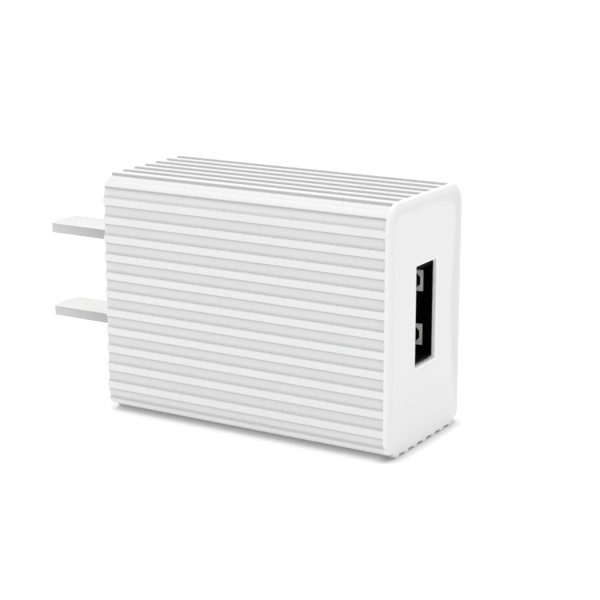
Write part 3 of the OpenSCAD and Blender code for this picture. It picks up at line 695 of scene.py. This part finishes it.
    def ribbed_ring(self, way: np.ndarray, x: float, cut: float) -> "Ring":
        """One ring of the outside, at x, where the edge rounding cuts it back.

        A groove and the rounding are joined by the fourth root of the sum of their fourth powers,
        so that a groove runs out softly where the rounding gets deeper than it.

        Args:
            way: places round the outline.
            x: distance from the plug face.
            cut: how far the rounding cuts in here.

        Returns:
            The ring, with its painted shade and highlight.
        """
        open_share = 1 - self.plain_band(way, x)
        if x > self.cover:
            cut = cut * (1 - (1 - self.under_edge) * self.under(way))
        sunk = ((self.groove(way) * open_share) ** 4 + cut ** 4) ** 0.25
        flat = self.outline(way, self.half, self.corner, sunk)
        # painted shade of grooves and rib walls, gone where the rounding cuts the ribs away
        left = np.clip(1 - cut / self.rib_height, 0, 1) * open_share * (1 - self.under(way) * (cut > 0))
        floor, wall = self.paint(way)
        gone = (x - (self.high.x - self.low.x - self.front_round)) / self.front_round
        # painted highlight on the first part of the socket face's rounded edge
        edge = 0.3 * min(max(gone / 0.15, 0.0), max((0.9 - gone) / 0.4, 0.0), 1.0)
        none = np.zeros(len(way))
        return Ring(self.placed(flat, x), floor * left, wall * left, none, none + edge)

    def placed(self, flat: np.ndarray, x: float) -> np.ndarray:
        """Points of a cross-section at the distance x from the plug face, in the frame."""
        return np.column_stack([np.full(len(flat), self.low.x + x), flat[:, 0], flat[:, 1] + self.middle])

    def port_ring(self, way: np.ndarray, grow: float) -> np.ndarray:
        """The socket opening's outline, grown, as the point that each way meets seen from its middle.

        A ray from the opening's middle to the case's outline is cut by the rectangle, and the ray
        nearest to each corner is moved onto that corner.
        """
        centre = np.array([self.port_shift, self.port_rise])
        half = np.array(self.port_size) / 2 + grow
        ray = self.outline(way, self.half, self.corner) - centre
        edge = ray / np.max(np.abs(ray) / half, axis=1)[:, None]
        corners = np.array([[y, z] for y in (-1, 1) for z in (-1, 1)]) * half
        for corner in corners:
            slant = np.abs(ray[:, 0] * corner[1] - ray[:, 1] * corner[0]) / np.hypot(*ray.T)
            slant = np.where(ray @ corner > 0, slant, np.inf)
            edge[np.argmin(slant)] = corner
        return edge + centre

    def face_rings(self, way: np.ndarray, rim: np.ndarray, mouth: np.ndarray) -> list["Ring"]:
        """Rings over the flat socket face, from its rim to the opening, with a band of painted shade inside
        the rim.

        The painted shade rises over 0.3 of the band's width and has gone at 1.4 of it. The band is widest on
        the +Y side. Each place's width and strength follow the direction from the face's middle to the rim.

        Args:
            way: places round the outline.
            rim: Y and Z of the face's rim, about the case's middle.
            mouth: Y and Z of the opening's outline, about the case's middle.

        Returns:
            The rings.
        """
        span = np.linalg.norm(mouth - rim, axis=1)
        side = np.clip(rim[:, 0] / self.half[0], -1, 1)
        up = np.clip(rim[:, 1] / self.half[1], -1, 1)
        wide = (0.9 + 1.9 * np.clip(side, 0, 1) ** 3) * MM
        strong = np.clip(0.3 + 0.7 * np.clip(side, 0, 1) ** 3 + 0.3 * np.clip(up, 0, 1) ** 4, 0, 1)
        strong = strong * np.clip(1 + 2.2 * (up + 0.55), 0, 1)
        rings = []
        for reach in FACE_REACHES:
            along = np.minimum(reach * wide, 0.8 * span)
            spot = rim + (mouth - rim) * (along / span)[:, None]
            # share of the painted shade inside the rim at this ring
            rise, fall = reach / RIM_SHADE_RISE, (RIM_SHADE_END - reach) / RIM_SHADE_FALL
            share = strong * np.clip(rise, 0, 1) * np.clip(fall, 0, 1)
            rings.append(self.plain(self.placed(spot, self.high.x - self.low.x), share))
        spot = mouth + (rim - mouth) * (LAST_RING / span)[:, None]
        rings.append(self.plain(self.placed(spot, self.high.x - self.low.x)))
        return rings

    def plain(self, points: np.ndarray, rim_shade: np.ndarray | float = 0.0, edge: float = 0.0) -> "Ring":
        """A ring with no rib on it."""
        none = np.zeros(len(points))
        return Ring(points, none, none, none + rim_shade, none + edge)

    def shell_rings(self, way: np.ndarray) -> list["Ring"]:
        """All rings of the shell: outside, socket face, opening, inside and rear rim, in order."""
        length = self.high.x - self.low.x
        turns = np.linspace(0, math.pi / 2, 13)
        rear, front = self.rear_round, self.front_round
        rings = [self.ribbed_ring(way, rear * (1 - math.cos(t)), rear * (1 - math.sin(t)))
                 for t in turns[::2]]
        band = length - front - self.band_slope * np.linspace(1, 0, 6)[:-1]
        rings += [self.ribbed_ring(way, x, 0.0) for x in (length * 0.3, length * 0.7, *band)]
        rings += [self.ribbed_ring(way, length - front * (1 - math.cos(t)), front * (1 - math.sin(t)))
                  for t in turns[::-1]]
        rim = rings[-1].points[:, 1:] - [0, self.middle]
        rings += self.face_rings(way, rim, self.port_ring(way, self.port_round))
        # the opening's rounded edge is given the full painted light
        for turn in turns[::3]:
            flat = self.port_ring(way, self.port_round * (1 - math.sin(turn)))
            x = length - self.port_round * (1 - math.cos(turn))
            rings.append(self.plain(self.placed(flat, x), edge=1.0))
        skin = self.rib_height + self.wall
        inner = (self.half[0] - skin, self.half[1] - skin)
        corner = max(0.4 * MM, self.corner - skin)
        seat = (inner[0] + self.cover_step, inner[1] + self.cover_step)
        lip = (seat[0] + self.lip, seat[1] + self.lip)
        seat_turn = corner + self.cover_step
        back = length - self.front_wall
        # the opening's wall is given the full painted light
        rings.append(self.plain(self.placed(self.port_ring(way, 0.0), back), edge=1.0))
        for size, turn, x in ((inner, corner, back), (inner, corner, self.cover),
                              (seat, seat_turn, self.cover), (seat, seat_turn, self.lip),
                              (lip, seat_turn, 0.0)):
            rings.append(self.plain(self.placed(self.outline(way, size, turn), x)))
        return rings

    def rails(self) -> np.ndarray:
        """Points of the board's four rails, sixteen to a rail: four rings of four.

        Each rail is a bar whose first end is drawn in over its own thickness, so that the board finds
        its way in, and whose foot stands a little inside the wall.

        Returns:
            The points, one row each.
        """
        board_low, board_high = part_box("circuit_board")
        foot = self.half[1] - self.rib_height - self.wall
        ends = np.array([0.0, self.rail, self.rail * 1.5, self.high.x - self.low.x - self.front_wall
                         - self.rail_start + 0.1 * MM]) + self.low.x + self.rail_start
        drawn = np.array([0.3, 0.0, 0.0, 0.0]) * self.rail
        middles = (board_low.y - self.rail_gap - self.rail / 2, board_high.y + self.rail_gap + self.rail / 2)
        bars = []
        for middle, way_up in ((m, w) for m in middles for w in (-1, 1)):
            half = self.rail / 2 - drawn[:, None] / 2
            y = middle + half * np.array([-1, 1, 1, -1])
            crest = (foot - self.rail + drawn)[:, None] + np.zeros(4)
            z = np.where(np.array([False, False, True, True]), foot + 0.1 * MM, crest) * way_up + self.middle
            bars.append(np.stack([np.repeat(ends[:, None], 4, axis=1), y, z], axis=-1).reshape(-1, 3))
        return np.concatenate(bars)

    def build(self) -> bpy.types.Object:
        """Makes the shell as one closed surface, with the rails, and lets it stand for the CAD shell.

        Returns:
            The shell.
        """
        way = self.stations()
        rings = self.shell_rings(way)
        rails = self.rails()
        points = np.concatenate([ring.points for ring in rings] + [rails])
        tones = {name: np.concatenate([getattr(ring, name) for ring in rings] + [np.zeros(len(rails))])
                 for name in TONES}
        faces = [grid_faces(len(rings), len(way), True)]
        for first in range(len(points) - len(rails), len(points), RAIL_POINTS):
            faces += [part + first for part in (grid_faces(4, 4, False), cap(4, 0, True), cap(4, 3, False))]
        shell = object_from("ribbed_shell", points, faces, 32.0, tones)
        outward(shell)
        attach(shell, CASE_BODY)
        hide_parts("housing_shell")
        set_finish(shell, "case_plastic")
        LOG.info("ribbed_shell: %d points in %d rings", len(points), len(rings))
        return shell


def outward(piece: bpy.types.Object) -> None:
    """Turns a closed piece's faces outwards."""
    work = bmesh.new()
    work.from_mesh(piece.data)
    bmesh.ops.recalc_face_normals(work, faces=work.faces)
    work.to_mesh(piece.data)
    work.free()


def softened(node: str, name: str, body: str, slot: str, width: float,
             segments: int = 3) -> bpy.types.Object:
    """A merged copy of a CAD node with its sharp edges rounded.

    Args:
        node: the CAD node that the copy stands for.
        name: the new piece's name.
        body: the body that carries it.
        slot: its material slot.
        width: width of the rounding.
        segments: facets across the rounding.

    Returns:
        The new piece, at the origin.
    """
    mesh = bpy.data.objects[node].data.copy()
    mesh.name = name
    mesh.materials.clear()
    work = bmesh.new()
    work.from_mesh(mesh)
    bmesh.ops.remove_doubles(work, verts=work.verts, dist=1e-6)
    bmesh.ops.dissolve_limit(work, angle_limit=math.radians(1), verts=work.verts, edges=work.edges)
    bent = [e for e in work.edges if len(e.link_faces) == 2 and e.calc_face_angle(0) > math.radians(30)]
    bmesh.ops.bevel(work, geom=bent, offset=width, segments=segments, profile=0.5,
                    affect="EDGES", clamp_overlap=True)
    work.to_mesh(mesh)
    work.free()
    mesh.shade_smooth()
    mesh.set_sharp_from_angle(angle=math.radians(40))
    piece = bpy.data.objects.new(name, mesh)
    bpy.context.scene.collection.objects.link(piece)
    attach(piece, body)
    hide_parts(node)
    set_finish(piece, slot)
    LOG.info("%s: %d points", name, len(mesh.vertices))
    return piece


# ------------------------------------------------------------------ plug blades


@dataclass
class Blades:
    """The two plug blades.

    Attributes:
        crown: how far the tip bulges.
        tip_corner: radius of the tip's corners.
        edge_round: rounding of the long edges.
    """

    crown: float = 0.65 * MM
    tip_corner: float = 0.25 * MM
    edge_round: float = 0.16 * MM

    def outline(self, low: Vector, high: Vector, inset: float) -> np.ndarray:
        """Plan of a blade, inset: a straight bar whose far end is an arc between rounded corners.

        The arc through both corners has the radius (w^2 / 4 + c^2) / 2c for a width w and a crown c.
        """
        width = high.y - low.y
        radius = (width ** 2 / 4 + self.crown ** 2) / (2 * self.crown)
        half, corner = width / 2, self.tip_corner
        side = low.x + self.crown + corner
        turn = np.linspace(0, math.pi / 2, 10)
        lower = np.column_stack([side - (corner - inset) * np.sin(turn),
                                 -half + corner - (corner - inset) * np.cos(turn)])
        across = np.linspace(-half + corner, half - corner, 41)[1:-1]
        arc = np.column_stack([low.x + radius - np.sqrt((radius - inset) ** 2 - across ** 2), across])
        upper = lower[::-1] * [1, -1]
        root = np.array([[high.x - inset, half - inset], [high.x - inset, -half + inset]])
        plan = np.concatenate([lower, arc, upper, root])
        return plan + [0, (low.y + high.y) / 2]

    def blade(self, node: str) -> bpy.types.Object:
        """Makes one blade: its plan at each height, drawn in where the long edges are rounded.

        Args:
            node: the CAD blade that it stands for.

        Returns:
            The blade.
        """
        low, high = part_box(node)
        turn = np.linspace(0, math.pi / 2, 5)
        drawn = self.edge_round * (1 - np.sin(turn))
        inset = np.concatenate([drawn, drawn[::-1]])
        lift = self.edge_round * (1 - np.cos(turn))
        height = np.concatenate([low.z + lift, high.z - lift[::-1]])
        plans = [self.outline(low, high, i) for i in inset]
        around = len(plans[0])
        points = np.concatenate([np.column_stack([p, np.full(around, z)]) for p, z in zip(plans, height)])
        # marks the sheared side faces, which the finish paints with shade and makes rougher
        edge = np.repeat((inset < self.edge_round * 0.5).astype(float), around)
        faces = [grid_faces(len(plans), around, False), cap(around, 0, True),
                 cap(around, len(plans) - 1, False)]
        made = object_from(node + "_plated", points, faces, 40.0, {"edge": edge})
        outward(made)
        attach(made, CASE_BODY)
        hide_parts(node)
        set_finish(made, "blade_metal")
        LOG.info("%s: %d points", made.name, len(points))
        return made

    def build(self) -> list[bpy.types.Object]:
        """Makes both blades."""
        return [self.blade(node) for node in ("blade_upper", "blade_lower")]


# ------------------------------------------------------------------ studio


@dataclass
class Studio:
    """Floor, lights and camera.

    Attributes:
        azimuth: where the camera stands round the charger, in degrees; 0 looks along +Y.
        elevation: the camera's height over the horizon, in degrees.
        distance: from the camera to the point it looks at.
        aim: the point it looks at.
        lens: focal length in millimetres, on a sensor 36 mm wide.
        sky: strength of the even light from all round.
        key: strength of the very soft light from above.
        glow: how strongly the floor, a light table, shines by itself.
        card_power: power of the bright card far behind the charger, in watts.
        floor_half: half the floor's side.
        shadow_reach: how far the painted shadow round the charger's foot reaches over the floor.
        front: X between which the stronger painted shadow before the socket face sets in.
        front_shadow_power: how much stronger it is there.
        key_spread: angle over which the key light comes, in degrees.
        key_place: where the key light hangs.
        card_size: width and height of the card.
        card_place: where the card stands.
    """

    azimuth: float = 30.79
    elevation: float = 14.28
    distance: float = 236.0 * MM
    aim: tuple[float, float, float] = (10.76 * MM, 0.59 * MM, 17.11 * MM)
    lens: float = 101.22
    sky: float = 0.84
    key: float = 1.3
    glow: float = 0.43
    card_power: float = 1.2
    floor_half: float = 6.0
    shadow_reach: float = 2.0 * MM
    front: tuple[float, float] = (0.0285, 0.03)
    front_shadow_power: float = 0.7
    key_spread: float = 70.0
    key_place: tuple[float, float, float] = (-0.06, 0.02, 0.6)
    card_size: tuple[float, float] = (2.6, 1.2)
    card_place: tuple[float, float, float] = (-0.7, 1.5, 0.65)

    def build(self) -> None:
        """Makes the floor, the lights and the camera."""
        self.floor()
        self.lights()
        self.camera()

    def floor(self) -> None:
        """A wide pale floor that shines by itself, with a painted shadow in its glow and its colour where
        the charger stands close over it.
        """
        side = self.floor_half
        corners = np.array([[-side, -side, 0], [side, -side, 0], [side, side, 0], [-side, side, 0]])
        plane = object_from("studio_floor", corners, [np.array([[0, 1, 2, 3]])])
        kit = Kit("studio_floor")
        tint = kit.noise(40.0)
        # painted shadow: the glow and the colour darken where the charger stands close, more before the
        # socket face
        open_sky = kit.crowding(self.shadow_reach)
        front = kit.along(0).step(*self.front)
        glow = kit.blend(grey(0.25), grey(1.0), open_sky ** (front * self.front_shadow_power + 1.0))
        pale = kit.blend(grey(0.61), grey(0.63), tint)
        shade = ((open_sky - 1.0) * -1.0 * front).clamped()
        kit.feed(kit.shader.inputs["Base Color"], kit.over(pale, grey(0.3), shade))
        kit.feed(kit.shader.inputs["Emission Color"], glow)
        kit.feed(kit.shader.inputs["Emission Strength"], self.glow)
        kit.feed(kit.shader.inputs["Roughness"], 0.9)
        kit.feed(kit.shader.inputs["Specular IOR Level"], 0.0)
        plane.data.materials.append(kit.material)

    def lights(self) -> None:
        """An even sky, a very soft key light overhead and a bright card far behind."""
        world = bpy.data.worlds.new("studio_sky")
        world.use_nodes = True
        background = world.node_tree.nodes["Background"]
        background.inputs["Color"].default_value = (1.0, 1.0, 1.0, 1.0)
        background.inputs["Strength"].default_value = self.sky
        bpy.context.scene.world = world
        key = bpy.data.lights.new("soft_key", "SUN")
        key.energy, key.angle = self.key, math.radians(self.key_spread)
        self.hang("soft_key", key, self.key_place)
        card = bpy.data.lights.new("back_card", "AREA")
        card.energy, card.shape = self.card_power, "RECTANGLE"
        card.size, card.size_y = self.card_size
        self.hang("back_card", card, self.card_place)

    def hang(self, name: str, lamp: bpy.types.Light, place: tuple[float, float, float]) -> None:
        """Hangs a lamp at a place, turned to the aim."""
        made = bpy.data.objects.new(name, lamp)
        made.location = place
        made.rotation_euler = (Vector(self.aim) - made.location).to_track_quat("-Z", "Y").to_euler()
        bpy.context.scene.collection.objects.link(made)

    def camera(self) -> None:
        """The camera, turned upright towards its aim."""
        turn, lift = math.radians(self.azimuth), math.radians(self.elevation)
        back = Vector((math.sin(turn) * math.cos(lift), -math.cos(turn) * math.cos(lift), math.sin(lift)))
        data = bpy.data.cameras.new("camera")
        data.lens, data.sensor_width = self.lens, 36.0
        data.clip_start, data.clip_end = 0.01, 20.0
        camera = bpy.data.objects.new("camera", data)
        camera.location = Vector(self.aim) + back * self.distance
        camera.rotation_euler = (-back).to_track_quat("-Z", "Y").to_euler()
        bpy.context.scene.collection.objects.link(camera)
        bpy.context.scene.camera = camera


# ------------------------------------------------------------------ dressing


def finishes(case: Case) -> list[Finish]:
    """Every slot's finish.

    Args:
        case: the case, whose faces place the blades' shading.

    Returns:
        One finish for each material slot of the record.
    """
    tip_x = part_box("blade_upper")[0].x
    return [
        # the case's groove, rib-wall and rim tones are painted shade, and its edge tone a painted highlight
        RibbedPlastic("case_plastic", grey(0.785), grey(0.765), 0.42, 0.15, depth=1.5e-6,
                      pitch=0.12 * MM, groove_shade_tone=grey(0.75), wall_shade_tone=grey(0.5),
                      rim_shade_tone=grey(0.69), edge_highlight_tone=grey(0.95)),
        Finish("cover_plastic", grey(0.79), grey(0.76), 0.5, 0.1, pitch=0.12 * MM),
        # the blades' side-face tones are painted shade, darker towards the case
        BladePlating("blade_metal", (0.88, 0.88, 0.875), (0.84, 0.84, 0.835), 0.3, 0.12, 1.0, 1e-6,
                     Pattern.BRUSHED, 0.05 * MM, edge_shade_tip=grey(0.66), edge_shade_root=grey(0.42),
                     root_x=case.low.x, tip_x=tip_x),
        Finish("leaf_bronze", (0.6, 0.42, 0.2), (0.5, 0.34, 0.16), 0.25, 0.2, 1.0, 1e-6,
               Pattern.BRUSHED, 0.05 * MM),
        Finish("rivet_metal", (0.72, 0.55, 0.28), (0.6, 0.44, 0.2), 0.25, 0.2, 1.0, 2e-6,
               Pattern.PUDDLED, 0.3 * MM),
        Finish("board_laminate", (0.006, 0.007, 0.007), (0.014, 0.016, 0.016), 0.4, 0.1, 0.0, 2e-5,
               Pattern.TRACKS, 2.4 * MM),
        Finish("resistor_body", (0.12, 0.24, 0.36), (0.1, 0.2, 0.31), 0.55, 0.2, pitch=0.3 * MM),
        Finish("resistor_sleeve", (0.6, 0.6, 0.54), (0.52, 0.52, 0.46), 0.6, 0.2, 0.0, 2e-5,
               Pattern.CREPE, 0.5 * MM),
        Finish("chip_epoxy", (0.012, 0.012, 0.013), (0.022, 0.022, 0.024), 0.5, 0.2, 0.0, 4e-6,
               Pattern.GRAIN, 0.08 * MM),
        Finish("ferrite", (0.03, 0.03, 0.033), (0.05, 0.05, 0.054), 0.6, 0.2, 0.1, 1e-5,
               Pattern.SPECKLE, 0.1 * MM),
        Finish("copper_wire", (0.6, 0.2, 0.07), (0.25, 0.07, 0.03), 0.25, 0.2, 0.9, 5e-5,
               Pattern.WOUND, 0.22 * MM, 0.4),
        Finish("insulated_wire", (0.75, 0.5, 0.1), (0.4, 0.24, 0.05), 0.3, 0.2, 0.0, 1e-4,
               Pattern.WOUND, 0.45 * MM, 0.3),
        Finish("bobbin_plastic", (0.015, 0.015, 0.016), (0.025, 0.025, 0.026), 0.45, 0.15,
               pitch=0.15 * MM),
        Finish("polyester_tape", (0.8, 0.55, 0.03), (0.7, 0.46, 0.02), 0.2, 0.15, 0.0, 1e-5,
               Pattern.CREPE, 0.8 * MM, 0.3),
        Finish("tinned_wire", grey(0.6), grey(0.45), 0.2, 0.2, 1.0, 2e-6, Pattern.PUDDLED, 0.4 * MM),
        Finish("disc_coating", (0.02, 0.08, 0.35), (0.015, 0.06, 0.27), 0.25, 0.15, 0.0, 2e-5,
               Pattern.CREPE, 1.0 * MM, 0.4),
        Finish("chip_resistor", (0.015, 0.015, 0.02), (0.03, 0.03, 0.035), 0.3, 0.2, pitch=0.2 * MM),
        Finish("chip_ceramic", (0.35, 0.22, 0.12), (0.28, 0.17, 0.09), 0.5, 0.2, 0.0, 5e-6,
               Pattern.SPECKLE, 0.1 * MM),
        Finish("solder", (0.68, 0.69, 0.71), (0.5, 0.51, 0.53), 0.15, 0.3, 1.0, 1e-5, Pattern.PUDDLED,
               0.4 * MM),
        Finish("insulation_film", (0.68, 0.66, 0.5), (0.6, 0.58, 0.43), 0.35, 0.15, 0.0, 1e-5,
               Pattern.CREPE, 2.0 * MM),
        # the socket's steel is near-black as painted shade, for the dark inside of the opening
        Finish("socket_steel", grey(0.003), grey(0.005), 0.7, 0.2, 1.0, 1e-6, Pattern.BRUSHED,
               0.05 * MM),
        Finish("socket_plastic", grey(0.008), grey(0.014), 0.5, 0.2, pitch=0.15 * MM),
        Finish("contact_gold", (0.8, 0.55, 0.18), (0.7, 0.45, 0.14), 0.25, 0.2, 1.0, 1e-6,
               Pattern.BRUSHED, 0.05 * MM),
        Finish("spring_steel", grey(0.95), grey(0.85), 0.4, 0.2, 0.5, 1e-6, Pattern.BRUSHED, 0.05 * MM),
        Finish("can_aluminium", (0.75, 0.76, 0.77), (0.62, 0.63, 0.64), 0.3, 0.2, 1.0, 1e-6,
               Pattern.BRUSHED, 0.08 * MM),
        Finish("mains_sleeve", (0.01, 0.011, 0.014), (0.02, 0.021, 0.026), 0.3, 0.2, 0.0, 2e-5,
               Pattern.CREPE, 0.6 * MM, 0.2),
        Finish("output_sleeve", (0.008, 0.02, 0.09), (0.012, 0.03, 0.12), 0.3, 0.2, 0.0, 2e-5,
               Pattern.CREPE, 0.6 * MM, 0.2),
        Finish("bung_rubber", grey(0.012), grey(0.02), 0.7, 0.15, pitch=0.2 * MM),
    ]


def dress(frame: Mapping[str, object], looks: Sequence[Finish], pieces: Sequence[bpy.types.Object]) -> None:
    """Gives every CAD node and every new piece the finish of its slot.

    Args:
        frame: what the frame's loading gave.
        looks: all finishes.
        pieces: the new pieces, each with its slot declared.
    """
    made = {look.slot: look.build() for look in looks}
    for part in frame["record"]["subparts"]:
        paint(frame["nodes"][part["node"]], made[part["material_slot"]])
    for piece in pieces:
        paint(piece, made[piece["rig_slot"]])
    LOG.info("%d finishes on %d nodes and %d pieces", len(made), len(frame["nodes"]), len(pieces))


def paint(piece: bpy.types.Object, material: bpy.types.Material) -> None:
    """Puts one material on a whole piece."""
    piece.data.materials.clear()
    piece.data.materials.append(material)


def main() -> None:
    """Loads the frame, builds the charger and the studio round it, and logs what it made."""
    logging.basicConfig(level=logging.INFO, format="%(name)s %(message)s")
    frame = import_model()
    bpy.context.scene.view_settings.view_transform = "Standard"
    Studio().build()
    case = Case()
    shell = case.build()
    cover = softened("rear_cover", "rear_cover_moulded", CASE_BODY, "cover_plastic", COVER_SOFTENING)
    pieces = [shell, cover, *Blades().build()]
    dress(frame, finishes(case), pieces)


if __name__ == "__main__":
    main()
